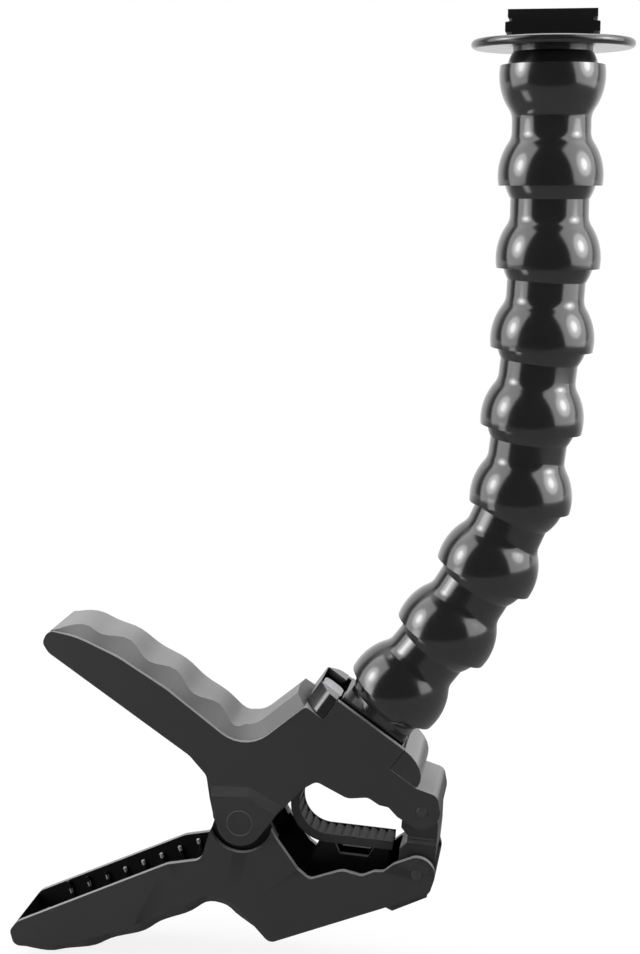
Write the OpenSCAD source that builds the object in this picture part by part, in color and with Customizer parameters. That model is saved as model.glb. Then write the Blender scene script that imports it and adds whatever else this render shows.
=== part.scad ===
// Spring clamp with a bendable ball-and-socket arm and a slide-in camera base.
// The origin is the middle of the jaws' grip, +X runs out of the jaws, +Z is up,
// and the clamp is drawn closed, with the arm bent as it stands in use.

/* [Clamp] */
// Width of the clamp over its side walls
clamp_w = 31; // [29:0.5:34]
// Thickness of the side walls
wall_t = 2.4; // [2:0.1:2.8]
// Thickness of the web that joins the side walls
web_t = 2.4; // [2:0.1:3]
// Angle by which the clamp's middle line dips towards the jaws
clamp_lean = 4; // [0:0.5:8]
// From the pivot to the middle of the grip
jaw_reach = 62; // [58:0.5:64]
// Height of a jaw's pin over the middle line
jaw_pin_rise = 11.3; // [10.8:0.1:12]
// Radius of the ear round a jaw's pin
ear_r = 6.2; // [5.8:0.1:6.6]
// Radius of the hub lobe round the pivot
hub_r = 8.2; // [7.6:0.1:8.8]

/* [Handles] */
// Length of a handle from the valley to its end
handle_len = 75.5; // [66:0.5:84]
// Angle at which the upper handle rises from the middle line
upper_rise = 24.6; // [20:0.2:28]
// Angle at which the lower handle drops from the middle line
lower_rise = 20.8; // [17:0.2:25]
// Depth of the upper handle's side at mid length
upper_depth = 12.6; // [10:0.2:15]
// Depth of the lower handle's side at mid length
lower_depth = 14.8; // [12:0.2:17]
// Height of the grip crown over the edge of the side, at its finger scallops
crown_h = 5.2; // [3:0.2:6]
// Half the width of the crown's top where it is widest
crown_half = 11; // [9:0.2:12.5]
// How far each finger scallop cuts into that half width
scallop = 3; // [1:0.2:5]
// From one finger scallop to the next
scallop_pitch = 18.8; // [15:0.2:24]
// From one stiffening rib inside the lower handle to the next
rib_pitch = 7.5; // [6:0.5:10]
// Thickness of a stiffening rib
rib_t = 1.1; // [0.8:0.1:1.6]
// How far a stiffening rib stands off its wall
rib_h = 1.2; // [0.8:0.1:2]

/* [Pivot] */
// Radius of the pivot pin's shaft
pivot_r = 3; // [2.5:0.1:3.4]
// Radius of the pivot pin's flat heads
pivot_head_r = 4.8; // [4.2:0.1:5.6]
// Thickness of the pivot pin's heads
pivot_head_t = 1; // [0.8:0.1:1.3]
// Wire of the clamp spring
spring_wire = 2.2; // [1.6:0.1:2.4]
// Turns of the clamp spring
spring_turns = 6; // [4:1:7]
// Length of the clamp spring's legs
spring_leg = 20.4; // [14:0.2:20.8]

/* [Jaws] */
// Width of a jaw pad
pad_w = 24; // [20:0.5:25]
// Length of a jaw pad's gripping face
pad_face = 10.2; // [9:0.2:11]
// Thickness of the rubber facing on a pad
facing_t = 0.9; // [0.6:0.1:1.4]
// Radius of a jaw pin's shaft
jaw_pin_r = 1.5; // [1.2:0.1:1.7]
// Radius of a jaw pin's head
jaw_pin_head_r = 1.9; // [1.8:0.1:2.3]

/* [Grip band] */
// Width of the ribbed grip band
band_w = 12; // [10:0.5:14]
// Thickness of the band under its ribs
band_t = 2.4; // [2:0.1:2.8]
// Height of the band's ribs
band_rib_h = 0.8; // [0.5:0.1:1.1]
// From one rib of the band to the next
band_rib_pitch = 3; // [2.6:0.1:4]
// Radius of the band's bend in the throat
band_bend_r = 11.2; // [10:0.2:12]
// Depth of the band's flat run under the middle line
band_drop = 4.7; // [4.2:0.1:5.4]

/* [Receiver and foot] */
// Steepness of the slope that carries the arm, from the clamp's middle line
slope = 31.6; // [29:0.2:33]
// Distance of the slope's floor from the pivot
floor_q = 47.6; // [46.8:0.1:48.4]
// Height of the cheeks beside the receiver
cheek_h = 8.4; // [7.6:0.1:9]
// Length of the cheeks along the slope
cheek_len = 28; // [26.6:0.2:29]
// From the slope's floor to the foot's ball
foot_ball_h = 20.4; // [19.8:0.1:22]
// Wall of the receiver's open end
receiver_t = 1.5; // [1.2:0.1:2]

/* [Arm] */
// Radius of each ball
ball_r = 15.1; // [14.6:0.1:15.4]
// From one ball to the next along a link
link_pitch = 26.6; // [26:0.1:30]
// From ball to ball through the double socket
double_pitch = 30.6; // [30:0.1:36]
// Radius of a link's neck
neck_r = 12.8; // [12:0.1:13]
// Largest radius of a socket
socket_r = 17.1; // [16.8:0.1:18]
// How far a socket's lip reaches past the ball's middle
lip_reach = 3.8; // [3.4:0.1:4]
// Radius of the bore through the links
bore_r = 8.6; // [6:0.1:9.4]
// Bend of each ball joint, from the foot upwards, in degrees
bends = [1.9, -6.5, -7.5, -16.5, -1, -3, -2.5, -0.5, 0];

/* [Camera head] */
// Diameter of the head's plate
plate_d = 52.5; // [46:0.5:60]
// Thickness of the head's plate
plate_t = 2.9; // [2.4:0.1:4]
// From the top ball's middle to the underside of the plate
plate_rise = 8.9; // [8.6:0.1:12]
// Width of the camera base between its rails
base_w = 25.6; // [25:0.2:28]
// Length of the camera base
base_len = 30; // [27:0.5:34]
// Height of the camera base
base_h = 8.3; // [7.6:0.1:9.5]
// How far the camera base's lower rails stand out
base_rail = 2; // [1.2:0.1:2.4]
// Width of the slot's mouth in the camera base
slot_w = 15; // [13:0.5:17]

/* [Fits] */
// Radial clearance of pins and balls in their seats
run_gap = 0.05; // [0.02:0.01:0.09]
// Gap between faces that pass each other
side_gap = 0.3; // [0.25:0.05:0.4]

/* [Hidden] */
$fn = 64;

matte = [0.13, 0.13, 0.13];
gloss = [0.05, 0.05, 0.05];
rubber = [0.09, 0.09, 0.09];
steel = [0.62, 0.62, 0.64];
blackened = [0.12, 0.12, 0.125];

arc_step = 12;
inner_w = clamp_w - 2 * wall_t;
links = 7;

// Unit vector along v
function unit(v) = v / norm(v);

// Points of an arc round c from angle a0 to angle a1
function arc(c, r, a0, a1) =
    let (n = max(2, ceil(abs(a1 - a0) / arc_step)))
    [for (i = [0:n]) c + r * [cos(a0 + (a1 - a0) * i / n), sin(a0 + (a1 - a0) * i / n)]];

// Points that round the corner b between a and c with radius r
function corner(a, b, c, r) =
    let (
        to_a = unit(a - b),
        to_c = unit(c - b),
        half = acos(max(-1, min(1, to_a * to_c))) / 2,
        mid = b + unit(to_a + to_c) * r / sin(half),
        from_mid = b + to_a * r / tan(half) - mid,
        start = atan2(from_mid.y, from_mid.x),
        turn = (cross(to_a, to_c) > 0 ? -1 : 1) * (180 - 2 * half)
    )
    arc(mid, r, start, start + turn);

function flat(p) = [p.x, p.y];

// A closed outline from corners [x, y, radius]
function rounded(pts) =
    let (n = len(pts))
    [for (i = [0:n - 1])
        each (pts[i][2] > 0
            ? corner(flat(pts[(i + n - 1) % n]), flat(pts[i]), flat(pts[(i + 1) % n]), pts[i][2])
            : [flat(pts[i])])];

// The point where the line through a along d meets the line through b along e
function meet(a, d, b, e) = a + d * cross(b - a, e) / cross(d, e);

// The same corners moved inwards by d; corners run anticlockwise
function inset(pts, d) =
    let (n = len(pts))
    [for (i = [0:n - 1])
        let (
            a = flat(pts[(i + n - 1) % n]),
            b = flat(pts[i]),
            c = flat(pts[(i + 1) % n]),
            u = unit(b - a),
            v = unit(c - b),
            p = meet(a + d * [-u.y, u.x], u, b + d * [-v.y, v.x], v),
            r = pts[i][2] + (cross(u, v) > 0 ? -d : d)
        )
        [p.x, p.y, pts[i][2] > 0 ? max(0.4, r) : 0]];

// Side view frames of the clamp

// Pivot frame of the clamp: x along its middle line from the pivot, z up
module in_clamp() {
    rotate([0, clamp_lean, 0]) translate([-jaw_reach, 0, 0]) children();
}

// Slope frame: x down the slope, z out of it, from the pivot
module on_slope() {
    in_clamp() rotate([0, slope, 0]) children();
}

// A plate of width w across the clamp, from a side-view outline
module across(w, shift = 0) {
    translate([0, shift, 0]) rotate([90, 0, 0]) linear_extrude(height = w, center = true) children();
}

// A round bar of radius r and width w across the clamp
module bar(r, w, shift = 0) {
    translate([0, shift, 0]) rotate([90, 0, 0]) cylinder(r = r, h = w, center = true);
}

jaw_pin = [jaw_reach, jaw_pin_rise];
floor_start = -6;
cheek_start = 1.4;
cheek_end = cheek_start + cheek_len;
floor_end = cheek_end + 11;

// A slope-frame point in the pivot frame
function from_slope(p, q) = [p * cos(slope) + q * sin(slope), q * cos(slope) - p * sin(slope)];

// A point of a handle: s along it, t off it, for a handle that starts at start
function on_handle(start, rise, s, t) =
    start + s * [-cos(rise), sin(rise)] + t * [sin(rise), cos(rise)];

// Where a handle starts beside its valley
handle_off = [-2.6, 4.2];

// Heights of a handle's outer edge over its own line, at shares of its length
edge_rise = [2.8, 4, 2.9];
edge_at = [0.4, 0.66, 0.87];
valley_r = 13;

function handle_corners(valley, rise, depth) =
    let (start = valley + handle_off)
    [
        for (i = [0:2]) [each on_handle(start, rise, edge_at[i] * handle_len, edge_rise[i]), 30],
        [each on_handle(start, rise, handle_len, -0.2), 3],
        [each on_handle(start, rise, handle_len - 0.3, -0.4 * depth), 2.5],
        [each on_handle(start, rise, 0.95 * handle_len, -0.56 * depth), 5],
        [each on_handle(start, rise, 12, -depth - 1.2), 6]
    ];

// Inner side of an arm from the handle round the hub and along the mouth to the jaw's ear
function mouth_corners() =
    [
        [-12.8, 15.4, 4],
        [-11.2, 7.6, 6],
        [-9.4, 0.9, 1],
        for (p = arc([0, 0], hub_r, 190, 328)) [p.x, p.y, 0],
        [10.4, 0.4, 1],
        [12.4, 4, 1],
        [21, 14.6, 1.5],
        [25.4, 17.7, 2.5],
        [36.4, 13, 5],
        [43.3, 14.2, 3],
        [47.4, 12, 1.5],
        [50.6, 11.6, 1.5],
        [jaw_reach - 8.2, 8.6, 2],
        for (p = arc(jaw_pin, ear_r, 255, 370)) [p.x, p.y, 0],
        [jaw_reach + 4.8, jaw_pin_rise + ear_r, 3]
    ];

upper_valley = [0.1, 25.1];
lower_valley = [-5.3, 25];

// Outer corners of the two arms, from the jaw's ear back to the valley
function upper_crest() =
    [
        [each from_slope(floor_end, floor_q), 3],
        [each from_slope(floor_start, floor_q), 1.5],
        [each upper_valley, valley_r]
    ];

function lower_crest() =
    [
        [13, 42.6, 3],
        [each lower_valley, valley_r]
    ];

upper_corners = [
    each mouth_corners(),
    each upper_crest(),
    each handle_corners(upper_valley, upper_rise, upper_depth)
];

lower_corners = [
    each mouth_corners(),
    each lower_crest(),
    each handle_corners(lower_valley, lower_rise, lower_depth)
];

// The space between the side walls, open towards the mouth and the other handle
function hollow_corners(valley, rise, crest) =
    let (
        start = valley + handle_off,
        beyond = 60
    )
    [
        [each on_handle(start, rise, handle_len, -beyond), 0],
        [2 * jaw_reach, -beyond, 0],
        [2 * jaw_reach, jaw_pin_rise - 1.4, 0],
        [jaw_reach + ear_r, jaw_pin_rise + 1.6, 0],
        [jaw_reach + ear_r, jaw_pin_rise + 3, 1],
        [jaw_reach + 4.8, jaw_pin_rise + ear_r, 3],
        each crest,
        for (i = [0:2]) [each on_handle(start, rise, edge_at[i] * handle_len, edge_rise[i]), 30],
        [each on_handle(start, rise, handle_len, -0.2), 3]
    ];

// A polyline with its inner corners [x, y, radius] rounded
function rounded_path(pts) =
    let (last = len(pts) - 1)
    [
        flat(pts[0]),
        for (i = [1:last - 1]) each corner(flat(pts[i - 1]), flat(pts[i]), flat(pts[i + 1]), pts[i][2]),
        flat(pts[last])
    ];

// Lengths along a polyline up to each of its points
function run_lengths(path) =
    [for (i = 0, run = 0; i < len(path); run = run + norm(path[min(i + 1, len(path) - 1)] - path[i]), i = i + 1) run];

// The point at length s along a polyline whose lengths are known
function along(path, runs, s) =
    let (
        i = max(0, min(len(path) - 2, len([for (r = runs) if (r <= s) r]) - 1)),
        share = (s - runs[i]) / (runs[i + 1] - runs[i])
    )
    path[i] + share * (path[i + 1] - path[i]);

// Line of an arm's back, from its handle's end through the valley to a far end
function back_line(valley, rise, depth, far) =
    let (h = handle_corners(valley, rise, depth))
    rounded_path([flat(h[3]), h[2], h[1], h[0], [each valley, valley_r], far]);

crown_edge = 0.8;
crown_bite = 1.4;
crown_camber = 0.8;
crown_station = 2.4;
crown_ramp = 13;

// The crown that the hand grips: a cambered ridge with scalloped flanks, lofted along
// the arm's back from the handle's end; stop is how far before the line's end it stops
module crown(path, stop, far_ramp) {
    runs = run_lengths(path);
    full = runs[len(runs) - 1] - stop;
    stations = ceil(full / crown_station);
    half = clamp_w / 2 - crown_edge;
    function ramp(s) = min(1, s / crown_ramp) * (far_ramp > 0 ? min(1, (full - s) / far_ramp) : 1);
    function wave(s) = s > handle_len + 2 ? 0.35 : 0.5 - 0.5 * cos(360 * (s - 7) / scallop_pitch);
    function half_at(s) = half + (crown_half - scallop * (1 - wave(s)) - half) * ramp(s);
    function rise_at(s) = (crown_h - 0.6 * scallop * wave(s)) * ramp(s) - 0.3 * (1 - ramp(s));
    function ring(s) =
        let (
            c = along(path, runs, s),
            dir = unit(along(path, runs, s + 0.6) - along(path, runs, s - 0.6)),
            out = [-dir.y, dir.x],
            section = [
                [-half, -crown_bite], [-half_at(s), rise_at(s)], [0, rise_at(s) + crown_camber * ramp(s)],
                [half_at(s), rise_at(s)], [half, -crown_bite]
            ]
        )
        [for (yt = section) let (p = c + yt[1] * out) [p.x, yt[0], p.y]];
    rings = [for (i = [0:stations]) ring(0.8 + (full - 0.8) * i / stations)];
    m = 5;
    polyhedron(
        points = [for (r = rings) each r],
        faces = [
            [for (j = [0:m - 1]) m - 1 - j],
            [for (j = [0:m - 1]) stations * m + j],
            for (i = [0:stations - 1], j = [0:m - 1])
                let (a = i * m + j, b = i * m + (j + 1) % m)
                each [[a, b, a + m], [b, b + m, a + m]]
        ]
    );
}

// Pivot fit: the upper arm's walls hold the pin, and the lower arm's inner ears turn on it
ear_out = inner_w / 2 - side_gap;
ear_in = ear_out - wall_t;
recess_r = hub_r + 2.8;

module pivot_holes() {
    bar(pivot_r + run_gap, 2 * clamp_w);
    for (side = [-1, 1]) {
        bar(pivot_head_r + run_gap, 2 * pivot_head_t, side * clamp_w / 2);
    }
}

module jaw_pin_holes() {
    translate([jaw_pin.x, 0, jaw_pin.y]) {
        bar(jaw_pin_r + run_gap, 2 * clamp_w);
        for (side = [-1, 1]) {
            bar(jaw_pin_head_r + run_gap, 2 * pin_head_t, side * clamp_w / 2);
        }
    }
}

pin_head_t = 0.8;

// Side view of the cheeks, which go on from the side walls over the slope's floor
function cheek_outline() =
    [
        from_slope(cheek_start, floor_q - 1),
        from_slope(cheek_end, floor_q - 1),
        from_slope(cheek_end, floor_q + cheek_h),
        from_slope(cheek_start, floor_q + cheek_h)
    ];

module upper_arm() {
    color(matte) in_clamp() {
        difference() {
            union() {
                across(clamp_w) {
                    polygon(rounded(upper_corners));
                    polygon(cheek_outline());
                }
                crown(back_line(upper_valley, upper_rise, upper_depth, upper_crest()[1]), 1, 0);
            }
            rotate([0, slope, 0]) translate([cheek_start - 1, -inner_w / 2, floor_q])
                cube([cheek_len + 2, inner_w, 2 * cheek_h]);
            across(inner_w) polygon(rounded(inset(hollow_corners(upper_valley, upper_rise, upper_crest()), web_t)));
            pivot_holes();
            jaw_pin_holes();
        }
    }
}

module lower_arm() {
    color(matte) in_clamp() mirror([0, 0, 1]) {
        difference() {
            union() {
                across(clamp_w) polygon(rounded(lower_corners));
                crown(back_line(lower_valley, lower_rise, lower_depth, lower_crest()[0]), 5, 9);
                nose_ramp();
            }
            across(inner_w) polygon(rounded(inset(hollow_corners(lower_valley, lower_rise, lower_crest()), web_t)));
            for (side = [-1, 1]) {
                bar(recess_r, wall_t + side_gap, side * (ear_out + (wall_t + side_gap) / 2));
            }
            jaw_pin_holes();
        }
        hub_ears();
        handle_ribs();
        band_seats();
    }
}

// The ramp that stands off the lower arm's nose
module nose_ramp() {
    across(clamp_w - 4) polygon([
        [47, 23], [54.5, 26], [jaw_reach + 4, 19.6], [jaw_reach + 2.6, jaw_pin_rise + 4.6], [54, 16]
    ]);
}

// The lower arm's inner ears, which carry the pivot pin
module hub_ears() {
    reach = recess_r + 3;
    bite = 0.5;
    ear_to = inner_w / 2 + bite;
    difference() {
        intersection() {
            for (side = [-1, 1]) {
                across(ear_to - ear_in, side * (ear_in + ear_to) / 2) polygon(rounded(lower_corners));
            }
            bar(reach, clamp_w);
        }
        for (side = [-1, 1]) {
            bar(recess_r, 2 * (side_gap + bite), side * (ear_out + side_gap + bite));
        }
        bar(pivot_r + run_gap, clamp_w);
    }
}

// Stiffening ribs inside the lower handle
module handle_ribs() {
    start = lower_valley + handle_off;
    count = floor((handle_len - 14) / rib_pitch);
    tall = 0.62 * lower_depth;
    for (i = [1:count], side = [-1, 1]) {
        foot_at = on_handle(start, lower_rise, i * rib_pitch, -0.5);
        translate([foot_at.x, side * (inner_w - rib_h) / 2, foot_at.y])
            rotate([0, lower_rise, 0])
                translate([0, 0, -tall / 2])
                    cube([rib_t, rib_h + 0.4, tall], center = true);
    }
}

// Where the band lies: its flat run, then a bend up into the throat
band_end = jaw_reach - 9.8;
band_mid = [29.4, -band_bend_r + band_drop];
bend_over = 25;

// Posts in the lower arm that carry the band, in the mirrored frame of that arm
module band_seats() {
    post_t = 2;
    under = band_drop + band_t;
    crest_a = [13, 42.6];
    crest_b = [jaw_reach + 4.8, jaw_pin_rise + ear_r];
    function web_at(u) = lookup(u, [[crest_a.x, crest_a.y], [crest_b.x, crest_b.y]]) - 0.7 * web_t;
    for (side = [-1, 1]) {
        across(post_t, side * (band_w / 2 - post_t)) polygon([
            [27, under], [32, under], [34, under + 4], [44, under + 4], [46, under],
            [band_end - 1, under], [band_end - 1, web_at(band_end - 1)], [20, web_at(20)], [18, 30], [24, 14]
        ]);
    }
}

module grip_band() {
    inner = band_bend_r;
    outer = band_bend_r + band_t;
    c = [band_mid.x, -band_mid.y];
    color(rubber) in_clamp() {
        across(band_w) polygon([
            [band_end, -band_drop],
            each arc(c, inner, 270, 180 - bend_over),
            each arc(c, outer, 180 - bend_over, 270),
            [band_end, -band_drop - band_t]
        ]);
        band_ribs(c);
    }
}

// Ribs across the band, along its flat run and round its bend
module band_ribs(c) {
    width = band_w - 1;
    thick = 0.42 * band_rib_pitch;
    bite = 0.3;
    for (u = [c.x + band_rib_pitch / 2:band_rib_pitch:band_end - thick]) {
        translate([u, 0, -band_drop + (band_rib_h - bite) / 2])
            cube([thick, width, band_rib_h + bite], center = true);
    }
    turn = band_rib_pitch / band_bend_r * 180 / PI;
    for (a = [turn / 2:turn:90 + bend_over - turn / 3]) {
        translate([c.x, 0, c.y]) rotate([0, a, 0])
            translate([0, 0, -band_bend_r + (band_rib_h - bite) / 2])
                cube([thick, width, band_rib_h + bite], center = true);
    }
}

module pivot_pin() {
    color(blackened) in_clamp() {
        bar(pivot_r, clamp_w - 1.5 * pivot_head_t, -pivot_head_t / 4);
        bar(pivot_head_r, pivot_head_t, -(clamp_w - pivot_head_t) / 2);
    }
}

// The flat cap that closes the far end of the pivot pin
module pivot_washer() {
    color(blackened) in_clamp() bar(pivot_head_r, pivot_head_t, (clamp_w - pivot_head_t) / 2);
}

module jaw_pin_shape() {
    translate([jaw_pin.x, 0, jaw_pin.y]) {
        bar(jaw_pin_r, clamp_w - pin_head_t);
        for (side = [-1, 1]) {
            bar(jaw_pin_head_r, pin_head_t, side * (clamp_w - pin_head_t) / 2);
        }
    }
}

module upper_jaw_pin() {
    color(blackened) in_clamp() jaw_pin_shape();
}

module lower_jaw_pin() {
    color(blackened) in_clamp() mirror([0, 0, 1]) jaw_pin_shape();
}

// Half of the gap between the closed jaws
jaw_gap = 0.15;
face_start = jaw_reach - 4.4;
face_end = face_start + pad_face;

// A jaw pad: a boss on the pin and a block that carries the rubber facing
module pad_shape() {
    boss_r = ear_r - web_t - 0.4;
    level = jaw_gap + facing_t;
    difference() {
        union() {
            translate([jaw_pin.x, 0, jaw_pin.y]) bar(boss_r, pad_w);
            across(pad_w) polygon([
                [face_start, level],
                [face_end, level],
                [face_end - 0.2, jaw_pin_rise - 4.3],
                [jaw_reach + boss_r - 0.6, jaw_pin_rise - 1],
                [jaw_reach - boss_r + 0.3, jaw_pin_rise],
                [jaw_reach - 6.8, jaw_pin_rise - 3.1],
                [jaw_reach - 6.8, level + 2.6]
            ]);
        }
        translate([jaw_pin.x, 0, jaw_pin.y]) bar(jaw_pin_r + run_gap, 2 * pad_w);
    }
}

// The rubber facing of a pad, ribbed across
module facing_shape() {
    translate([face_start, -pad_w / 2, jaw_gap]) cube([pad_face, pad_w, facing_t]);
}

module upper_pad() {
    color(matte) in_clamp() pad_shape();
}

module lower_pad() {
    color(matte) in_clamp() mirror([0, 0, 1]) pad_shape();
}

module upper_pad_facing() {
    color(rubber) in_clamp() facing_shape();
}

module lower_pad_facing() {
    color(rubber) in_clamp() mirror([0, 0, 1]) facing_shape();
}

// The clamp spring: closed coils round the pivot pin, with one leg along each arm
module clamp_spring() {
    coil_r = pivot_r + 0.5 + spring_wire / 2;
    pitch = spring_wire + 0.1;
    color(steel) in_clamp() {
        for (i = [0:spring_turns - 1]) {
            translate([0, (i - (spring_turns - 1) / 2) * pitch, 0])
                rotate([90, 0, 0]) rotate_extrude() translate([coil_r, 0]) circle(r = spring_wire / 2 + 0.06);
        }
        for (side = [0, 1]) {
            translate([0, (side - 0.5) * (spring_turns - 1) * pitch, 0]) mirror([0, 0, side])
                rotate([0, leg_rise[side] - 90, 0])
                    translate([coil_r, 0, 0]) cylinder(r = spring_wire / 2, h = spring_leg);
        }
    }
}

// Steepness of the spring's upper and lower leg; each ends under its arm's web
leg_rise = [79, 68];

// The receiver: a glossy tray in the slope that the arm's foot slides into
tray_w = inner_w - 2 * side_gap;
tray_h = 6.2;
nose_len = 11.5;

module receiver() {
    color(gloss) on_slope() translate([0, 0, floor_q]) {
        difference() {
            union() {
                translate([cheek_start - 1, -tray_w / 2, 0]) cube([cheek_len + 2, tray_w, tray_h]);
                receiver_mouth();
                receiver_nose();
            }
            translate([cheek_start - 8, -mouth_half - 1, receiver_t])
                cube([12, 2 * mouth_half + 2, 2 * cheek_h]);
        }
    }
}

mouth_half = 8;

// The open end of the receiver, rounded in plan
module receiver_mouth() {
    outline = rounded([
        [cheek_start - 0.2, -clamp_w / 2, 0],
        [cheek_start - 0.2, clamp_w / 2, 0],
        [cheek_start - 4, clamp_w / 2 - 0.8, 4],
        [cheek_start - 8.4, clamp_w / 2 - 7, 4],
        [cheek_start - 8.4, -clamp_w / 2 + 7, 4],
        [cheek_start - 4, -clamp_w / 2 + 0.8, 4]
    ]);
    linear_extrude(height = cheek_h + 0.2) polygon(outline);
}

// The closed end of the receiver, rounded in side view
module receiver_nose() {
    from = cheek_end + 0.2;
    translate([0, 0, 0]) across(clamp_w - 0.6) polygon([
        [from, 0],
        [from + nose_len - 1, 0],
        for (a = [0:15:90]) [from + (nose_len - 0.5) * cos(a), 0.8 + (cheek_h - 0.8) * sin(a)]
    ]);
}

// The foot: a plate that slides into the receiver, with the arm's lowest ball on it
module foot() {
    plate_w = 2 * neck_r - 2;
    plate_q = tray_h;
    color(gloss) on_slope() translate([0, 0, floor_q]) {
        translate([cheek_start + 1.2, -plate_w / 2, plate_q]) cube([cheek_len - 2.4, plate_w, cheek_h + 1.4 - plate_q]);
        translate([foot_p, 0, 0]) {
            translate([0, 0, cheek_h + 1.4]) cylinder(r = neck_r, h = foot_ball_h - cheek_h - 0.9 - ball_foot);
            translate([0, 0, foot_ball_h]) ball();
        }
    }
}

foot_p = cheek_start + cheek_len / 2 + 1.1;

// Ball-and-socket arm. A link's own frame has the ball it carries at its origin,
// and the socket opens down the -Z axis, over the ball of the piece below.

// Height at which a ball's surface meets a neck, and the height at which it is cut off
ball_foot = sqrt(pow(ball_r, 2) - pow(neck_r, 2));
ball_top = 7.6;
seat_r = ball_r + run_gap;

// A hollow ball, cut off at its top, that sits on a neck
module ball() {
    difference() {
        sphere(r = ball_r);
        translate([0, 0, ball_top]) cylinder(r = 2 * ball_r, h = 2 * ball_r);
        translate([0, 0, -ball_foot]) mirror([0, 0, 1]) cylinder(r = 2 * ball_r, h = 2 * ball_r);
        translate([0, 0, -ball_foot + 2]) cylinder(r = bore_r, h = 2 * ball_r);
    }
}

// Half section of a socket's outside, with its lip at height 0 and its neck above
belly_at = 3.2;
belly_r = 19;
blend_r = 6;
belly_mid = socket_r - belly_r;
blend_rise = sqrt(pow(belly_r + blend_r, 2) - pow(neck_r + blend_r - belly_mid, 2));
socket_len = belly_at + blend_rise;

function socket_side() =
    let (
        low = -asin(belly_at / belly_r),
        high = atan2(blend_rise, neck_r + blend_r - belly_mid),
        n = 12,
        m = 5
    )
    [
        for (i = [0:n]) let (a = low + (high - low) * i / n)
            [belly_mid + belly_r * cos(a), belly_at + belly_r * sin(a)],
        for (i = [1:m]) let (a = 180 + high - high * i / m)
            [neck_r + blend_r + blend_r * cos(a), socket_len + blend_r * sin(a)]
    ];

// A solid socket from its lip up to height h
module socket_solid(h) {
    rotate_extrude() polygon([[0, 0], each socket_side(), [neck_r, h], [0, h]]);
}

// The space for the ball inside a socket, with its lip at height 0
module ball_seat() {
    translate([0, 0, lip_reach]) sphere(r = seat_r);
    translate([0, 0, -1]) cylinder(r = sqrt(pow(seat_r, 2) - pow(lip_reach, 2)) - 0.01, h = 2);
}

module link() {
    lip = -link_pitch - lip_reach;
    difference() {
        union() {
            translate([0, 0, lip]) socket_solid(link_pitch + lip_reach - ball_foot);
            intersection() {
                sphere(r = ball_r);
                translate([0, 0, -ball_foot]) cylinder(r = ball_r + 1, h = ball_foot + ball_top);
            }
        }
        translate([0, 0, lip]) ball_seat();
        translate([0, 0, lip]) cylinder(r = bore_r, h = link_pitch + lip_reach + ball_r);
    }
}

// Lean of the arm's piece k from the vertical: 0 is the foot, 9 the head
function lean(k) = k == 0 ? slope + clamp_lean : lean(k - 1) + bends[k - 1];

// Middle of the ball that piece k carries
foot_ball_p = [foot_p, floor_q + foot_ball_h];
foot_in_clamp = from_slope(foot_ball_p.x, foot_ball_p.y) - [jaw_reach, 0];
foot_ball = [
    foot_in_clamp.x * cos(clamp_lean) + foot_in_clamp.y * sin(clamp_lean),
    foot_in_clamp.y * cos(clamp_lean) - foot_in_clamp.x * sin(clamp_lean)
];
function pitch(k) = k > links ? double_pitch : link_pitch;
function ball_at(k) = k == 0 ? foot_ball : ball_at(k - 1) + pitch(k) * [sin(lean(k)), cos(lean(k))];

// Puts a piece at the ball that it carries
module at_ball(k) {
    translate([ball_at(k).x, 0, ball_at(k).y]) rotate([0, lean(k), 0]) children();
}

module arm_link(k) {
    color(gloss) at_ball(k) link();
}

// A neck with a socket at each end
module double_socket() {
    long = double_pitch + 2 * lip_reach;
    color(gloss) at_ball(links + 1) translate([0, 0, -double_pitch - lip_reach]) {
        difference() {
            union() {
                socket_solid(long / 2);
                translate([0, 0, long]) mirror([0, 0, 1]) socket_solid(long / 2);
            }
            ball_seat();
            translate([0, 0, long]) mirror([0, 0, 1]) ball_seat();
            cylinder(r = bore_r, h = long);
        }
    }
}

// Places a piece at the top ball
module at_head() {
    translate([ball_at(links + 1).x, 0, ball_at(links + 1).y]) rotate([0, lean(links + 2), 0]) children();
}

// The head: a hanging ball under a round plate with a soft rim
module head_plate() {
    rim = plate_t / 2;
    color(gloss) at_head() {
        difference() {
            union() {
                intersection() {
                    sphere(r = ball_r);
                    translate([0, 0, -ball_top]) cylinder(r = ball_r + 1, h = ball_foot + ball_top);
                }
                translate([0, 0, ball_foot - 0.5]) cylinder(r = neck_r, h = plate_rise + 1 - ball_foot);
                translate([0, 0, plate_rise]) rotate_extrude() polygon([
                    [0, 0],
                    each arc([plate_d / 2 - rim, rim], rim, -90, 90),
                    [0, plate_t]
                ]);
            }
            translate([0, 0, -ball_r]) cylinder(r = bore_r, h = ball_r + ball_foot);
        }
    }
}

// The camera base: a block with side rails and a T-slot that opens at its back
module camera_base() {
    lip_t = 2.2;
    under_w = slot_w + 5;
    slot_h = 5.2;
    front_t = 2.4;
    rail_low = 1.4;
    half = base_w / 2;
    color(gloss) at_head() translate([0, 0, plate_rise + plate_t]) {
        difference() {
            across(base_len) polygon([
                [-half, 0], [half, 0], [half, rail_low], [half + base_rail, rail_low],
                [half + base_rail, rail_low + 3], [half, rail_low + 3.4], [half, base_h - 2.8],
                [half + 0.6 * base_rail, base_h - 2.6], [half + 0.6 * base_rail, base_h],
                [-half - 0.6 * base_rail, base_h], [-half - 0.6 * base_rail, base_h - 2.6],
                [-half, base_h - 2.8], [-half, rail_low + 3.4], [-half - base_rail, rail_low + 3],
                [-half - base_rail, rail_low], [-half, rail_low]
            ]);
            translate([-slot_w / 2, front_t - base_len / 2, base_h - slot_h])
                cube([slot_w, base_len, slot_h + 1]);
            translate([-under_w / 2, front_t - base_len / 2, base_h - slot_h])
                cube([under_w, base_len, slot_h - lip_t]);
        }
    }
}

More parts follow.
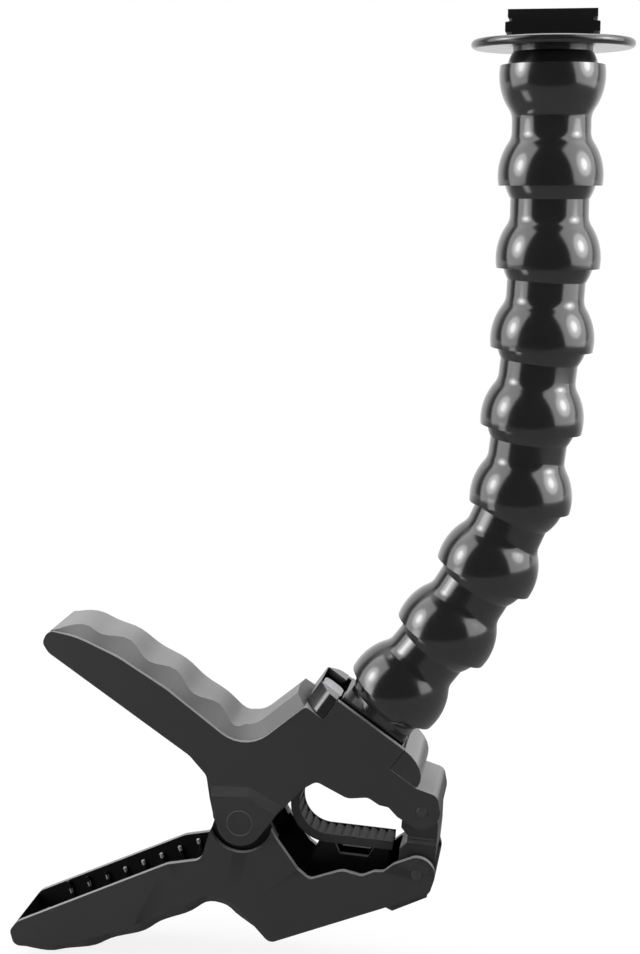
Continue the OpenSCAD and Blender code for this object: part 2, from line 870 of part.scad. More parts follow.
lower_arm();
grip_band();
lower_jaw_pin();
clamp_spring();
lower_pad();
lower_pad_facing();
upper_arm();
pivot_pin();
pivot_washer();
upper_jaw_pin();
receiver();
foot();
upper_pad();
upper_pad_facing();
arm_link(1);  // arm_link_1
arm_link(2);  // arm_link_2
arm_link(3);  // arm_link_3
arm_link(4);  // arm_link_4
arm_link(5);  // arm_link_5
arm_link(6);  // arm_link_6
arm_link(7);  // arm_link_7
double_socket();
head_plate();
camera_base();
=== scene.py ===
"""Looks for the flexible clamp mount: materials, small detail pieces, studio light and camera."""

import math

import bmesh
import bpy
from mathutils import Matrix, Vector


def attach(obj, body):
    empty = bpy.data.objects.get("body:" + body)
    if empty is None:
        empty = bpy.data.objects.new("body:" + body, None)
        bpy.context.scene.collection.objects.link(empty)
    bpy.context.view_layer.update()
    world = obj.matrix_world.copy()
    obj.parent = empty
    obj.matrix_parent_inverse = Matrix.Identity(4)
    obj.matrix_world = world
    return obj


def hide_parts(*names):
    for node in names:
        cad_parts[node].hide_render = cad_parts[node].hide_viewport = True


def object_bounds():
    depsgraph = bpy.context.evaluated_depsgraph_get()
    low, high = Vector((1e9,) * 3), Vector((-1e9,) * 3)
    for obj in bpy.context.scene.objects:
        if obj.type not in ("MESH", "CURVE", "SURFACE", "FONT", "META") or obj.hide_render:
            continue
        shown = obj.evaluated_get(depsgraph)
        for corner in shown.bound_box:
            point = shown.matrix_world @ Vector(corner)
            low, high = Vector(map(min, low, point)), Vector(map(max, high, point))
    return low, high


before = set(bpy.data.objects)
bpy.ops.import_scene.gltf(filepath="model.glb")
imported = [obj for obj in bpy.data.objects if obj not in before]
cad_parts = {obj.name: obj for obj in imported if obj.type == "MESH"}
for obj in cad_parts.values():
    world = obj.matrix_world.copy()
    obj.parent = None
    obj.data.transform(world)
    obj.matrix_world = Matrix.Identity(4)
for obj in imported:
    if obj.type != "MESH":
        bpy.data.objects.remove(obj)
CAD_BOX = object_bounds()

MM = 0.001

# Frames of the clamp, in the measures of the part's source: the dip of its middle line
# towards the jaws, the slope that carries the arm, the reach from the pivot to the middle
# of the grip, and half the width over its side walls
LEAN = math.radians(4)
SLOPE = math.radians(31.6)
REACH = 62.0
HALF_W = 15.5


def clamp_point(u, v, y=0.0):
    """A point of the clamp's own side view (mm from the pivot) in the part's frame, in metres."""
    x = (u - REACH) * math.cos(LEAN) + v * math.sin(LEAN)
    z = v * math.cos(LEAN) - (u - REACH) * math.sin(LEAN)
    return Vector((x, y, z)) * MM


def slope_point(p, q, y=0.0):
    """A point of the slope's frame (p down the slope, q out of it) in the part's frame."""
    u = p * math.cos(SLOPE) + q * math.sin(SLOPE)
    v = q * math.cos(SLOPE) - p * math.sin(SLOPE)
    return clamp_point(u, v, y)


# Shader nodes
WHITE = (1.0, 1.0, 1.0, 1.0)


def new_material(name):
    """A material with its node tree and its main shader."""
    mat = bpy.data.materials.new(name)
    mat.use_nodes = True
    return mat, mat.node_tree, mat.node_tree.nodes["Principled BSDF"]


def noise(tree, scale, detail):
    """Noise in the piece's own space."""
    coord = tree.nodes.new("ShaderNodeTexCoord")
    tex = tree.nodes.new("ShaderNodeTexNoise")
    tex.inputs["Scale"].default_value = scale
    tex.inputs["Detail"].default_value = detail
    tex.inputs["Roughness"].default_value = 0.55
    tree.links.new(coord.outputs["Object"], tex.inputs["Vector"])
    return tex.outputs["Fac"]


def split(tree, vector):
    """The X, Y and Z of a vector."""
    node = tree.nodes.new("ShaderNodeSeparateXYZ")
    tree.links.new(vector, node.inputs["Vector"])
    return node.outputs


def ramp(tree, source, stops):
    """Colours along a source, from (place, colour) pairs."""
    node = tree.nodes.new("ShaderNodeValToRGB")
    while len(node.color_ramp.elements) < len(stops):
        node.color_ramp.elements.new(0.5)
    for element, (at, colour) in zip(node.color_ramp.elements, stops):
        element.position = at
        element.color = (*colour, 1.0)
    tree.links.new(source, node.inputs["Fac"])
    return node.outputs["Color"]


def spread(tree, source, low, high, start=0.0, stop=1.0, curve="LINEAR"):
    """A source's stretch from start to stop, brought to low up to high."""
    node = tree.nodes.new("ShaderNodeMapRange")
    node.interpolation_type = curve
    node.inputs["From Min"].default_value = start
    node.inputs["From Max"].default_value = stop
    node.inputs["To Min"].default_value = low
    node.inputs["To Max"].default_value = high
    tree.links.new(source, node.inputs["Value"])
    return node.outputs["Result"]


def calculate(tree, operation, *sources):
    """One arithmetic step on sockets and plain numbers."""
    node = tree.nodes.new("ShaderNodeMath")
    node.operation = operation
    for socket, source in zip(node.inputs, sources):
        if isinstance(source, float):
            socket.default_value = source
        else:
            tree.links.new(source, socket)
    return node.outputs["Value"]


def turn_into(tree, colour, other, factor):
    """The colour, turned into another one by a factor."""
    mix = tree.nodes.new("ShaderNodeMix")
    mix.data_type = "RGBA"
    mix.inputs["B"].default_value = (*other, 1.0)
    tree.links.new(factor, mix.inputs["Factor"])
    tree.links.new(colour, mix.inputs["A"])
    return mix.outputs["Result"]


def choose(tree, factor, first, second):
    """The first shader, or the second where the factor is one."""
    node = tree.nodes.new("ShaderNodeMixShader")
    tree.links.new(factor, node.inputs["Fac"])
    tree.links.new(first, node.inputs[1])
    tree.links.new(second, node.inputs[2])
    return node.outputs["Shader"]


def bump(tree, shader, source, strength, distance):
    """Relief from a source, on the shader's normal."""
    node = tree.nodes.new("ShaderNodeBump")
    node.inputs["Strength"].default_value = strength
    node.inputs["Distance"].default_value = distance
    tree.links.new(source, node.inputs["Height"])
    tree.links.new(node.outputs["Normal"], shader.inputs["Normal"])


def grey(value):
    """A grey with a trace of blue."""
    return (value, value, value * 1.02)


def cloudy(tree, source, base, low, high):
    """A grey that drifts round its base; low and high are (place, share of the base)."""
    return ramp(tree, source, [(at, grey(base * share)) for at, share in (low, high)])


# Materials: half the width and the tone of the painted shade in the space between the lower
# arm's walls, the least upward turn of its faces, the tone and spread of the painted light from
# above on faces that look up, and how many times lighter than its base a worn edge is
HOLLOW_HALF = 0.0132
HOLLOW_PAINTED_SHADE = (0.002, 0.002, 0.002)
HOLLOW_TURN = -0.15
TOP_LIGHT_TONE = (0.34, 0.34, 0.34)
TOP_LIGHT_LIE = [(0.1, grey(0.0)), (0.45, grey(0.36)), (0.9, grey(1.0))]
WEAR_LIFT = 2.6


def painted_hollow_shade(tree, colour):
    """Paints shade into the space between the lower arm's side walls: near black there, over the painted
    light from above.
    """
    coord = tree.nodes.new("ShaderNodeTexCoord")
    place = split(tree, coord.outputs["Object"])
    facing = split(tree, coord.outputs["Normal"])
    # painted shade: near black inside the walls, on faces that do not look down
    inside = calculate(tree, "LESS_THAN", calculate(tree, "ABSOLUTE", place["Y"]), HOLLOW_HALF)
    upward = calculate(tree, "GREATER_THAN", facing["Z"], HOLLOW_TURN)
    return turn_into(tree, colour, HOLLOW_PAINTED_SHADE, calculate(tree, "MULTIPLY", inside, upward))


def painted_top_light(tree, colour, amount):
    """Painted light from above: a pale tone on the faces that look up, in patches."""
    coord = tree.nodes.new("ShaderNodeTexCoord")
    top_light_share = ramp(tree, split(tree, coord.outputs["Normal"])["Z"], TOP_LIGHT_LIE)
    patches = spread(tree, noise(tree, 60.0, 5.0), amount * 0.85, amount * 1.1)
    return turn_into(tree, colour, TOP_LIGHT_TONE, calculate(tree, "MULTIPLY", top_light_share, patches))


def matte_plastic(name, base, roughness, grain=2600.0, edge=0.55, top_light=0.5, hollow_shade=False):
    """Moulded plastic with a spark-eroded grain, cloudy tone, slightly worn edges and painted light from
    above on faces that look up; on request also painted shade between the lower arm's walls.
    """
    mat, tree, shader = new_material(name)
    tone = cloudy(tree, noise(tree, 35.0, 3.0), base, (0.3, 0.86), (0.7, 1.14))
    geometry = tree.nodes.new("ShaderNodeNewGeometry")
    wear = ramp(tree, geometry.outputs["Pointiness"], [(0.5, grey(0.0)), (0.58, grey(edge))])
    # painted light from above: faces that look up turn pale
    colour = painted_top_light(tree, turn_into(tree, tone, grey(base * WEAR_LIFT), wear), top_light)
    # painted shade: the space between the lower arm's walls goes near black
    if hollow_shade:
        colour = painted_hollow_shade(tree, colour)
    tree.links.new(colour, shader.inputs["Base Color"])
    grains = noise(tree, grain, 2.0)
    tree.links.new(spread(tree, grains, roughness - 0.07, roughness + 0.07), shader.inputs["Roughness"])
    shader.inputs["Specular IOR Level"].default_value = 0.28
    bump(tree, shader, grains, 0.2, 0.0001)
    return mat


def gloss_plastic(name, base, roughness, coat):
    """Polished plastic: a clean reflection with a faint swirl and a soft smear."""
    mat, tree, shader = new_material(name)
    tone = cloudy(tree, noise(tree, 90.0, 5.0), base, (0.35, 0.8), (0.75, 1.25))
    tree.links.new(tone, shader.inputs["Base Color"])
    smear = spread(tree, noise(tree, 260.0, 6.0), roughness * 0.75, roughness * 1.3)
    tree.links.new(smear, shader.inputs["Roughness"])
    shader.inputs["Specular IOR Level"].default_value = 0.9
    shader.inputs["IOR"].default_value = 1.5
    shader.inputs["Coat Weight"].default_value = coat
    shader.inputs["Coat Roughness"].default_value = 0.12
    bump(tree, shader, noise(tree, 45.0, 1.0), 0.1, 0.0005)
    return mat


def rubber(name, base):
    """Dull rubber with fine pores."""
    mat, tree, shader = new_material(name)
    tone = cloudy(tree, noise(tree, 120.0, 4.0), base, (0.3, 0.8), (0.75, 1.35))
    tree.links.new(tone, shader.inputs["Base Color"])
    pores = noise(tree, 3200.0, 3.0)
    tree.links.new(spread(tree, pores, 0.5, 0.66), shader.inputs["Roughness"])
    shader.inputs["Sheen Weight"].default_value = 0.15
    bump(tree, shader, pores, 0.3, 0.0001)
    return mat


def metal(name, base, roughness, metallic):
    """Metal, or a metallic finish, with fine uneven lines."""
    mat, tree, shader = new_material(name)
    lines = noise(tree, 900.0, 3.0)
    tree.links.new(cloudy(tree, lines, base, (0.3, 0.85), (0.7, 1.15)), shader.inputs["Base Color"])
    tree.links.new(spread(tree, lines, roughness * 0.8, roughness * 1.2), shader.inputs["Roughness"])
    shader.inputs["Metallic"].default_value = metallic
    bump(tree, shader, lines, 0.1, 0.00005)
    return mat


# In each matte material the amount of painted light from above is set by keyword; the lower arm's material
# also paints shade between its walls
CLAMP = matte_plastic("clamp_plastic", 0.012, 0.46, top_light=0.7)
CLAMP_LOWER = matte_plastic("lower_clamp_plastic", 0.012, 0.46, top_light=0.7, hollow_shade=True)
PAD = matte_plastic("pad_plastic", 0.011, 0.45, top_light=0.3)
GLOSS = gloss_plastic("link_plastic", 0.005, 0.17, 0.5)
PLATE = gloss_plastic("plate_plastic", 0.006, 0.2, 0.3)
BASE = matte_plastic("base_plastic", 0.006, 0.36, grain=1800.0, top_light=0.05)
RUBBER = rubber("grip_rubber", 0.016)
PIN = metal("blackened_pin", 0.035, 0.38, 0.3)
BOSS = matte_plastic("boss_plastic", 0.012, 0.46, top_light=0.16)
RING = matte_plastic("ring_plastic", 0.03, 0.5, top_light=0.3)
# pale tone: painted light on the latch tongue's face
TONGUE_PAINTED_LIGHT = matte_plastic("tongue_painted_light", 0.42, 0.35, top_light=0.0)
# pale painted glints for the tips of the handle's ribs
PAINTED_GLINT = gloss_plastic("rib_tip_painted_glint", 0.3, 0.3, 0.2)
WIRE = metal("spring_wire", 0.55, 0.3, 1.0)

# Looks of the CAD pieces, where those not named are glossy, and the widths of rounded edges in mm
NODE_LOOKS = {
    "lower_arm": CLAMP_LOWER, "upper_arm": CLAMP, "lower_pad": PAD, "upper_pad": PAD,
    "lower_pad_facing": RUBBER, "upper_pad_facing": RUBBER, "grip_band": RUBBER,
    "pivot_pin": PIN, "pivot_washer": PIN, "lower_jaw_pin": PIN, "upper_jaw_pin": PIN,
    "clamp_spring": WIRE, "head_plate": PLATE, "camera_base": BASE,
}
EDGE_WIDTH = {
    "lower_arm": 0.5, "upper_arm": 0.5, "receiver": 0.5, "head_plate": 0.4, "camera_base": 0.25,
    "lower_pad": 0.3, "upper_pad": 0.3, "grip_band": 0.12,
}
EDGE_SEGMENTS = 3

# Facets' corners closer than JOIN, in metres, are joined; edges that turn past SHARP stay sharp
JOIN = 1e-6
SHARP = math.radians(28)


def smoothing_group():
    """Joins the facets, shades them smooth up to SHARP and marks the outer edges past it."""
    group = bpy.data.node_groups.new("smooth_by_angle", "GeometryNodeTree")
    group.is_modifier = True
    for way in ("INPUT", "OUTPUT"):
        group.interface.new_socket("Geometry", in_out=way, socket_type="NodeSocketGeometry")
    nodes = group.nodes
    links = group.links

    def after(before, kind):
        node = nodes.new(kind)
        links.new(before.outputs["Geometry"], node.inputs["Geometry"])
        return node

    def past_sharp(angle):
        node = nodes.new("FunctionNodeCompare")
        node.data_type = "FLOAT"
        node.operation = "GREATER_THAN"
        node.inputs["B"].default_value = SHARP
        links.new(angle, node.inputs["A"])
        return node.outputs["Result"]

    turn = nodes.new("GeometryNodeInputMeshEdgeAngle")
    joined = after(nodes.new("NodeGroupInput"), "GeometryNodeMergeByDistance")
    joined.inputs["Distance"].default_value = JOIN
    plain = after(joined, "GeometryNodeRemoveAttribute")
    plain.inputs["Name"].default_value = "custom_normal"
    faces = after(plain, "GeometryNodeSetShadeSmooth")
    faces.inputs["Shade Smooth"].default_value = True
    edges = after(faces, "GeometryNodeSetShadeSmooth")
    edges.domain = "EDGE"
    edges.inputs["Shade Smooth"].default_value = False
    links.new(past_sharp(turn.outputs["Unsigned Angle"]), edges.inputs["Selection"])
    marked = after(edges, "GeometryNodeStoreNamedAttribute")
    marked.data_type = "FLOAT"
    marked.domain = "EDGE"
    marked.inputs["Name"].default_value = "bevel_weight_edge"
    links.new(past_sharp(turn.outputs["Signed Angle"]), marked.inputs["Value"])
    links.new(marked.outputs["Geometry"], nodes.new("NodeGroupOutput").inputs["Geometry"])
    return group


SMOOTHING = smoothing_group()


def smooth(obj):
    """Adds the smoothing to a piece."""
    obj.modifiers.new("smoothing", "NODES").node_group = SMOOTHING


def soften(obj, width):
    """Rounds the marked outer edges of a moulded piece, inside its own outline."""
    bevel = obj.modifiers.new("edges", "BEVEL")
    bevel.width = width * MM
    bevel.segments = EDGE_SEGMENTS
    bevel.limit_method = "WEIGHT"
    bevel.use_clamp_overlap = True
    normals = obj.modifiers.new("normals", "WEIGHTED_NORMAL")
    normals.mode = "FACE_AREA"
    normals.weight = 50
    normals.keep_sharp = True


for name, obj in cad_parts.items():
    obj.data.materials.clear()
    obj.data.materials.append(NODE_LOOKS.get(name, GLOSS))
    smooth(obj)
    if name in EDGE_WIDTH:
        soften(obj, EDGE_WIDTH[name])

# Detail pieces: points of one piece closer than WELD, in metres, become one
SIDES = (-1, 1)
BODY_OF_ARM = {"upper": "upper_clamp", "lower": "lower_clamp"}
WELD = 1e-7


def new_piece(name, verts, faces, look, body, slot, flat=False):
    """A mesh piece from points in metres, riding on a body."""
    mesh = bpy.data.meshes.new(name)
    mesh.from_pydata([tuple(v) for v in verts], [], faces)
    shape = bmesh.new()
    shape.from_mesh(mesh)
    bmesh.ops.remove_doubles(shape, verts=shape.verts, dist=WELD)
    bmesh.ops.recalc_face_normals(shape, faces=shape.faces)
    shape.to_mesh(mesh)
    shape.free()
    obj = bpy.data.objects.new(name, mesh)
    bpy.context.collection.objects.link(obj)
    obj.data.materials.append(look)
    if not flat:
        smooth(obj)
    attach(obj, body)
    return obj


def loft(rings, closed=True):
    """Points and faces of a tube through rings of equal length, closed by a cap at each end."""
    n = len(rings[0])
    verts = [p for ring in rings for p in ring]
    faces = [
        (i * n + j, i * n + (j + 1) % n, (i + 1) * n + (j + 1) % n, (i + 1) * n + j)
        for i in range(len(rings) - 1)
        for j in range(n)
    ]
    if closed:
        faces.append(tuple(range(n)))
        faces.append(tuple((len(rings) - 1) * n + j for j in range(n)))
    return verts, faces


def join_lofts(lofts):
    """Points and faces of several lofts as one mesh."""
    verts = []
    faces = []
    for points, sides in lofts:
        faces += [tuple(i + len(verts) for i in side) for side in sides]
        verts += points
    return verts, faces


def arc(centre, r, start, stop, steps):
    """Points of an arc in a flat view, in degrees."""
    angles = [math.radians(start + (stop - start) * i / steps) for i in range(steps + 1)]
    return [(centre[0] + r * math.cos(a), centre[1] + r * math.sin(a)) for a in angles]


def turned(centre, side, steps, profile):
    """A turned piece's rings on a side wall, from (radius, height over the wall) pairs."""
    return [
        [clamp_point(u, v, side * (HALF_W + h)) for u, v in arc(centre, r, 0, 360, steps)[:-1]]
        for r, h in profile
    ]


def near_or_far(side):
    return "near" if side < 0 else "far"


# The boss round the pivot: a plate that stands proud of each side, with a bevel along its top
BOSS_PROUD = 1.1
BOSS_ROOT = 0.2
BOSS_STEP = 0.02
BOSS_LOW = [(-10.5, 8.2), (-9.3, 1.2), *arc((0, 0), 8.1, 190, 328, 18), (10.2, 1.0), (12.1, 4.2)]
BOSS_TOP = [(14.3, 7.4), (2.2, 13.0), (-11.0, 11.8)]
BOSS_BROW = [(12.1, 4.25), (1.8, 9.8), (-10.5, 8.5)]


def hub_boss(side):
    """The boss plate of one side."""
    levels = [(BOSS_TOP, -BOSS_ROOT), (BOSS_TOP, BOSS_STEP), (BOSS_BROW, BOSS_PROUD)]
    rings = [[clamp_point(u, v, side * (HALF_W + h)) for u, v in BOSS_LOW + top] for top, h in levels]
    name = "hub_boss_" + near_or_far(side)
    return new_piece(name, *loft(rings), BOSS, "upper_clamp", "matte_black", flat=True)


RING_R = 4.42
RING_WIDE = 0.3
RING_PROUD = 0.1
RING_STEPS = 64


def pivot_ring(side):
    """The fine raised ring round the pivot's axis on the boss."""
    foot = BOSS_PROUD - RING_PROUD
    crest = BOSS_PROUD + RING_PROUD
    profile = [
        (RING_R + RING_WIDE / 2, foot), (RING_R + RING_WIDE / 4, crest), (RING_R - RING_WIDE / 4, crest),
        (RING_R - RING_WIDE / 2, foot), (RING_R + RING_WIDE / 2, foot),
    ]
    name = "pivot_ring_" + near_or_far(side)
    verts, faces = loft(turned((0, 0), side, RING_STEPS, profile), closed=False)
    return new_piece(name, verts, faces, RING, "upper_clamp", "matte_black")


JAW_PIN_UP = 11.3
DOME_R = 1.85
DOME_HIGH = 0.5
DOME_ROOT = 0.3
DOME_TIP = 0.05
DOME_STEPS = 40
DOME_TURN = 15


def rivet(arm, side):
    """The domed head of a jaw pin, in its recess."""
    v = JAW_PIN_UP if arm == "upper" else -JAW_PIN_UP
    turns = [math.radians(a) for a in range(0, 91, DOME_TURN)]
    dome = [(max(DOME_R * math.cos(a), DOME_TIP), DOME_HIGH * math.sin(a)) for a in turns]
    rings = turned((REACH, v), side, DOME_STEPS, [(DOME_R, -DOME_ROOT), *dome])
    name = "rivet_%s_%s" % (arm, near_or_far(side))
    return new_piece(name, *loft(rings), PIN, BODY_OF_ARM[arm], "black_metal")


for side in SIDES:
    hub_boss(side)
    pivot_ring(side)
    for arm in BODY_OF_ARM:
        rivet(arm, side)

# The grip band: a channel with a low rim on each side and a row of slanting ribs between
BAND_END = 52.2
BAND_MID = (29.4, 6.5)
BAND_R = 11.2
BAND_T = 2.4
BAND_HALF = 6.0
BAND_RIM = 0.7
BAND_RIM_TOP = 0.6
BAND_RIM_FOOT = 0.8
BAND_STATIONS = 60
BAND_PITCH = 3.0
BAND_TURN = 115.0
BAND_FLAT = BAND_END - BAND_MID[0]
BAND_LENGTH = BAND_FLAT + BAND_R * math.radians(BAND_TURN)
BAND_RIB = [(-1.15, -0.2), (1.2, -0.2), (1.2, 0.2), (0.95, 0.62), (0.6, 0.66), (-1.15, 0.22)]
BAND_RIB_HALF = 5.3


def band_point(s, y, h):
    """A point of the band: s from its end along its inner face, y across, h out of that face."""
    if s <= BAND_FLAT:
        return clamp_point(BAND_END - s, BAND_MID[1] - BAND_R + h, y)
    a = (s - BAND_FLAT) / BAND_R
    r = BAND_R - h
    return clamp_point(BAND_MID[0] - r * math.sin(a), BAND_MID[1] - r * math.cos(a), y)


def band_channel():
    """The band itself, with its two rims."""
    rim = [
        (BAND_HALF, -BAND_T), (BAND_HALF, BAND_RIM), (BAND_HALF - BAND_RIM_TOP, BAND_RIM),
        (BAND_HALF - BAND_RIM_FOOT, 0.0),
    ]
    section = [(-BAND_HALF, -BAND_T), *rim, *[(-y, h) for y, h in rim[:0:-1]]]
    stops = [BAND_LENGTH * i / BAND_STATIONS for i in range(BAND_STATIONS + 1)]
    return loft([[band_point(s, y, h) for y, h in section] for s in stops])


def band_rib(k):
    """One slanting rib of the band, from rim to rim."""
    mid = (k + 0.5) * BAND_PITCH
    ends = (-BAND_RIB_HALF, BAND_RIB_HALF)
    return loft([[band_point(mid + ds, y, h) for ds, h in BAND_RIB] for y in ends])


def grip_band():
    """The ribbed band, in the place of the plain one."""
    ribs = [band_rib(k) for k in range(int(BAND_LENGTH / BAND_PITCH))]
    verts, faces = join_lofts([band_channel(), *ribs])
    piece = new_piece("grip_band_ribbed", verts, faces, RUBBER, "lower_clamp", "black_rubber")
    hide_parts("grip_band")
    return piece


grip_band()

# The latch's tongue, which shows in the receiver's open end: its ranges along the slope,
# out of it and across, and its rounded corners
TONGUE_ALONG = (-5.6, 2.2)
TONGUE_OUT = (53.0, 54.2)
TONGUE_ACROSS = (-5.2, 5.2)
TONGUE_R = 2.4
CORNER_STEPS = 6


def rounded_corner(at, start):
    """The arc of one corner of the tongue, which begins at an angle in degrees."""
    ranges = (TONGUE_ALONG, TONGUE_ACROSS)
    centre = [c - math.copysign(TONGUE_R, c - sum(ends) / 2) for c, ends in zip(at, ranges)]
    return arc(centre, TONGUE_R, start, start + 90, CORNER_STEPS)


def latch_tongue():
    """A slab on the slope with rounded corners."""
    back, front = TONGUE_ALONG
    near, far = TONGUE_ACROSS
    corners = [((front, far), 0), ((back, far), 90), ((back, near), 180), ((front, near), 270)]
    rim = [point for at, start in corners for point in rounded_corner(at, start)]
    rings = [[slope_point(p, q, y) for p, y in rim] for q in TONGUE_OUT]
    # the tongue's pale tone is painted light on its face
    return new_piece("latch_tongue", *loft(rings), TONGUE_PAINTED_LIGHT, "upper_clamp", "gloss_black")


# Round noses on the stiffening ribs inside the lower handle, and painted glints on their tips
LOWER_START = (-7.9, 29.2)
LOWER_RISE = math.radians(20.8)
INNER_HALF = 13.1
RIBS = 8
RIB_PITCH = 7.5
RIB_TOP = -13.9
RIB_TOP_SLANT = 0.13
RIB_END = -9.4
RIB_CORNERS = 12
RIB_OFF_WALL = 0.7
RIB_LONGER = 1.1
NOSE_R = 0.6
NOSE_LEAST = 0.3
TIP_R = 0.72
TIP_LEN = 2.2
END_R = 0.2
END_TOP = 0.35
END_LOW = 0.3


def handle_point(s, t, y):
    """A point of the lower handle: s along it, t off it towards its back, y across."""
    u = LOWER_START[0] - s * math.cos(LOWER_RISE) + t * math.sin(LOWER_RISE)
    v = LOWER_START[1] + s * math.sin(LOWER_RISE) + t * math.cos(LOWER_RISE)
    return clamp_point(u, -v, y)


def rib_post(s, side, radius, top, low):
    """An oval post on one rib, rounded at both ends."""
    y = side * (INNER_HALF - RIB_OFF_WALL)
    turns = [math.radians(360 / RIB_CORNERS * j) for j in range(RIB_CORNERS)]
    profile = [(top, END_R), (top + END_TOP, radius), (low - END_LOW, radius), (low, END_R)]
    return loft([
        [handle_point(s + r * math.cos(a), t, y + RIB_LONGER * r * math.sin(a)) for a in turns]
        for t, r in profile
    ])


def rib_row(name, radius, short, look):
    """Posts on the ribs of both walls: short ones at the rim, or down to the ribs' end."""
    posts = []
    for k in range(1, RIBS + 1):
        s = k * RIB_PITCH
        top = RIB_TOP + RIB_TOP_SLANT * (s - RIB_PITCH)
        low = top + TIP_LEN if short else max(RIB_END, top + TIP_LEN + NOSE_LEAST)
        posts += [rib_post(s, side, radius, top, low) for side in SIDES]
    return new_piece(name, *join_lofts(posts), look, "lower_clamp", "matte_black")


rib_row("rib_noses", NOSE_R, False, CLAMP_LOWER)
# pale painted glints on the ribs' tips
rib_row("rib_tip_glints", TIP_R, True, PAINTED_GLINT)
latch_tongue()

# Studio: a sheet that curves up behind the part, its measures in metres
SHEET_SHARE = 0.86
SHEET_DARK = (0.925, 0.925, 0.93)
SHEET_LIGHT = (0.94, 0.94, 0.945)
FLOOR_Z = CAD_BOX[0][2] - 0.0005
FLOOR_HALF = 3.0
FLOOR_FRONT = 0.7
FLOOR_DEPTH = 2.2
FLOOR_BEND = 0.6
FLOOR_HEIGHT = 2.4
BEND_STEPS = 12


def backdrop_material():
    """Pale sheet that reads as white to the camera and in reflections, and takes a soft shadow."""
    mat, tree, shader = new_material("studio_sheet")
    shader.inputs["Roughness"].default_value = 0.9
    tone = ramp(tree, noise(tree, 3.0, 2.0), [(0.3, SHEET_DARK), (0.7, SHEET_LIGHT)])
    tree.links.new(tone, shader.inputs["Base Color"])
    path = tree.nodes.new("ShaderNodeLightPath")
    to_camera = path.outputs["Is Camera Ray"]
    in_gloss = path.outputs["Is Glossy Ray"]
    where = tree.nodes.new("ShaderNodeNewGeometry")
    depth = split(tree, where.outputs["Position"])["Y"]
    distance = tree.nodes.new("ShaderNodeVectorMath")
    distance.operation = "LENGTH"
    tree.links.new(where.outputs["Position"], distance.inputs[0])
    mirrored = calculate(tree, "MULTIPLY", in_gloss, spread(tree, depth, 0.3, 1.0, 0.3, 1.1))
    glow = tree.nodes.new("ShaderNodeEmission")
    glow.inputs["Color"].default_value = WHITE
    tree.links.new(calculate(tree, "MAXIMUM", to_camera, mirrored), glow.inputs["Strength"])
    far_white = spread(tree, distance.outputs["Value"], SHEET_SHARE, 1.0, 0.3, 0.68)
    share = calculate(tree, "MULTIPLY", to_camera, far_white)
    part_glow = calculate(tree, "MAXIMUM", share, in_gloss)
    surface = choose(tree, part_glow, shader.outputs["BSDF"], glow.outputs["Emission"])
    tree.links.new(surface, tree.nodes["Material Output"].inputs["Surface"])
    return mat


def floor():
    """A flat floor that curves up into a backdrop behind the part."""
    bend_at = (FLOOR_DEPTH - FLOOR_BEND, FLOOR_BEND)
    bend = arc(bend_at, FLOOR_BEND, -90, 0, BEND_STEPS)
    profile = [(-FLOOR_FRONT, 0.0), *bend, (FLOOR_DEPTH, FLOOR_HEIGHT)]
    mesh = bpy.data.meshes.new("studio_floor")
    verts = [(x, y, z + FLOOR_Z) for y, z in profile for x in (-FLOOR_HALF, FLOOR_HALF)]
    faces = [(2 * i, 2 * i + 1, 2 * i + 3, 2 * i + 2) for i in range(len(profile) - 1)]
    mesh.from_pydata(verts, [], faces)
    for poly in mesh.polygons:
        poly.use_smooth = True
    obj = bpy.data.objects.new("studio_floor", mesh)
    obj.data.materials.append(backdrop_material())
    bpy.context.collection.objects.link(obj)
    return obj


floor()

AMBIENT_COLOUR = (0.93, 0.94, 0.96, 1.0)
AMBIENT = 0.22
ROOM_FRONT = 0.1


def background(tree):
    """A white background shader."""
    node = tree.nodes.new("ShaderNodeBackground")
    node.inputs["Color"].default_value = WHITE
    return node


def room():
    """An even room: white to the camera, and in polished surfaces dark in front of the part."""
    world = bpy.data.worlds.new("studio")
    bpy.context.scene.world = world
    world.use_nodes = True
    tree = world.node_tree
    ambient = tree.nodes["Background"]
    ambient.inputs["Color"].default_value = AMBIENT_COLOUR
    ambient.inputs["Strength"].default_value = AMBIENT
    coord = tree.nodes.new("ShaderNodeTexCoord")
    towards = split(tree, coord.outputs["Generated"])
    behind = spread(tree, towards["Y"], ROOM_FRONT, 1.0, 0.3, 0.75, curve="SMOOTHSTEP")
    overhead = spread(tree, towards["Z"], 0.0, 1.0, 0.5, 0.85)
    rear = spread(tree, towards["Y"], 0.0, 1.0, -0.15, 0.2)
    ceiling = calculate(tree, "MULTIPLY", overhead, rear)
    mirrored = background(tree)
    tree.links.new(calculate(tree, "MAXIMUM", behind, ceiling), mirrored.inputs["Strength"])
    path = tree.nodes.new("ShaderNodeLightPath")
    in_gloss = path.outputs["Is Glossy Ray"]
    lit = choose(tree, in_gloss, ambient.outputs["Background"], mirrored.outputs["Background"])
    shown = choose(tree, path.outputs["Is Camera Ray"], lit, background(tree).outputs["Background"])
    tree.links.new(shown, tree.nodes["World Output"].inputs["Surface"])


room()

# The camera's direction, the middle of the part, and the camera's lens from the photograph:
# the distance of its centre and the height of its picture in pixels
YAW = math.radians(8.43)
PITCH = math.radians(9.24)
AIM = Vector((0.02, 0.0, 0.1))
FOCAL_PIXELS = 1765.0
PICTURE_PIXELS = 954.0
SENSOR = 36.0
CAMERA_AT = Vector((50.5, -585.8, 219.2)) * MM


def softbox(name, at, target, size, power, shape="RECTANGLE"):
    """An area light at a place, turned to a target."""
    data = bpy.data.lights.new(name, "AREA")
    data.shape = shape
    data.size, data.size_y = size
    data.energy = power
    obj = bpy.data.objects.new(name, data)
    obj.location = at
    obj.rotation_euler = (target - at).to_track_quat("-Z", "Y").to_euler()
    bpy.context.collection.objects.link(obj)


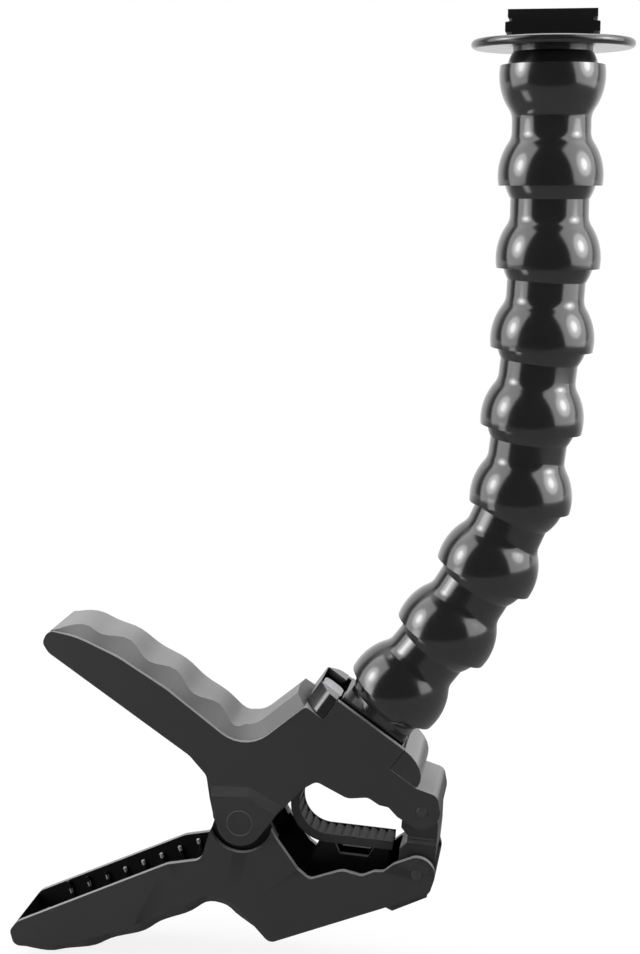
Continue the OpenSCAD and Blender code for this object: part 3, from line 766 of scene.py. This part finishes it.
def panel(name, azimuth, elevation, distance, size, radiance, shape="RECTANGLE"):
    """A softbox of a given brightness that faces the part, placed by its azimuth right of the
    camera's own direction and its height, in degrees."""
    a = math.radians(azimuth) + YAW
    e = math.radians(elevation)
    away = Vector((math.sin(a) * math.cos(e), -math.cos(a) * math.cos(e), math.sin(e)))
    softbox(name, AIM + distance * away, AIM, size, 4 * radiance * size[0] * size[1], shape)


panel("left_box", azimuth=-85, elevation=27, distance=1.0, size=(0.95, 1.35), radiance=1.5)
panel("right_box", azimuth=74, elevation=27, distance=1.0, size=(1.25, 1.35), radiance=1.5)
panel("left_glow", azimuth=-80, elevation=24, distance=0.95, size=(0.5, 0.6), radiance=1.6, shape="ELLIPSE")
panel("right_glow", azimuth=74, elevation=24, distance=0.95, size=(0.6, 0.6), radiance=1.6, shape="ELLIPSE")
panel("left_core", azimuth=-79, elevation=24, distance=0.9, size=(0.22, 0.26), radiance=3.2, shape="ELLIPSE")
panel("right_core", azimuth=73, elevation=24, distance=0.9, size=(0.24, 0.26), radiance=3.4, shape="ELLIPSE")
panel("top_box", azimuth=165, elevation=76, distance=1.1, size=(1.0, 0.8), radiance=2.0)

# A small light off the handles' ends
GLOW_AT = Vector((-0.26, -0.13, 0.03))
HANDLE_ENDS = Vector((-0.13, 0.0, 0.01))
softbox("end_glow", GLOW_AT, HANDLE_ENDS, size=(0.1, 0.16), power=0.09)


def camera():
    """The camera of the photograph."""
    data = bpy.data.cameras.new("camera")
    data.sensor_fit = "VERTICAL"
    data.sensor_height = SENSOR
    data.lens = FOCAL_PIXELS / PICTURE_PIXELS * SENSOR
    data.clip_start = 0.01
    obj = bpy.data.objects.new("camera", data)
    obj.location = CAMERA_AT
    forward = Vector((-math.sin(YAW) * math.cos(PITCH), math.cos(YAW) * math.cos(PITCH), -math.sin(PITCH)))
    obj.rotation_euler = forward.to_track_quat("-Z", "Y").to_euler()
    bpy.context.collection.objects.link(obj)
    bpy.context.scene.camera = obj
    bpy.context.scene.view_settings.view_transform = "Standard"


camera()
